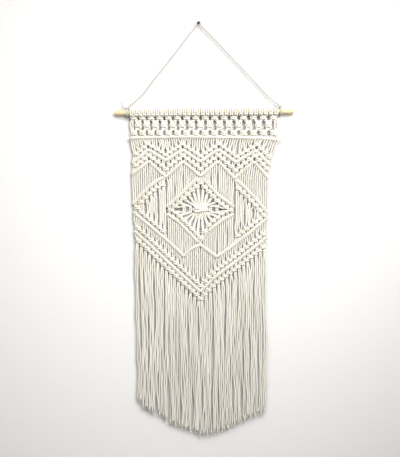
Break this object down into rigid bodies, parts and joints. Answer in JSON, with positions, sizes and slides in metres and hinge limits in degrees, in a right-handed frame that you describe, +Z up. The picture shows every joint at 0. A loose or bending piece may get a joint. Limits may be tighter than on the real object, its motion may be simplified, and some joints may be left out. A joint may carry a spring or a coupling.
{
  "type": "macrame wall hanging with wooden dowel",
  "caption": "Knotted cotton wall hanging with zigzags, a centre diamond and a long pointed fringe, on a wooden dowel hung from a nail by a cord.",
  "frame": {"origin": "on the wall's surface, where the axis of the nail meets it", "axes": "+Z up along the wall, +Y into the wall, +X to the right as seen from the front"},
  "size_m": [0.4295, 0.0213, 1.0033],
  "materials": {
    "cotton_cord": "matt twisted cotton",
    "pale_wood": "sanded, untreated",
    "dark_steel": "blackened"
  },
  "bodies": {
    "root": {"macrame_cloth": "cotton_cord", "fringe": "cotton_cord", "dowel": "pale_wood", "nail": "dark_steel", "hanging_cord": "cotton_cord", "left_hanger_knot": "cotton_cord", "right_hanger_knot": "cotton_cord"}
  },
  "joints": []
}
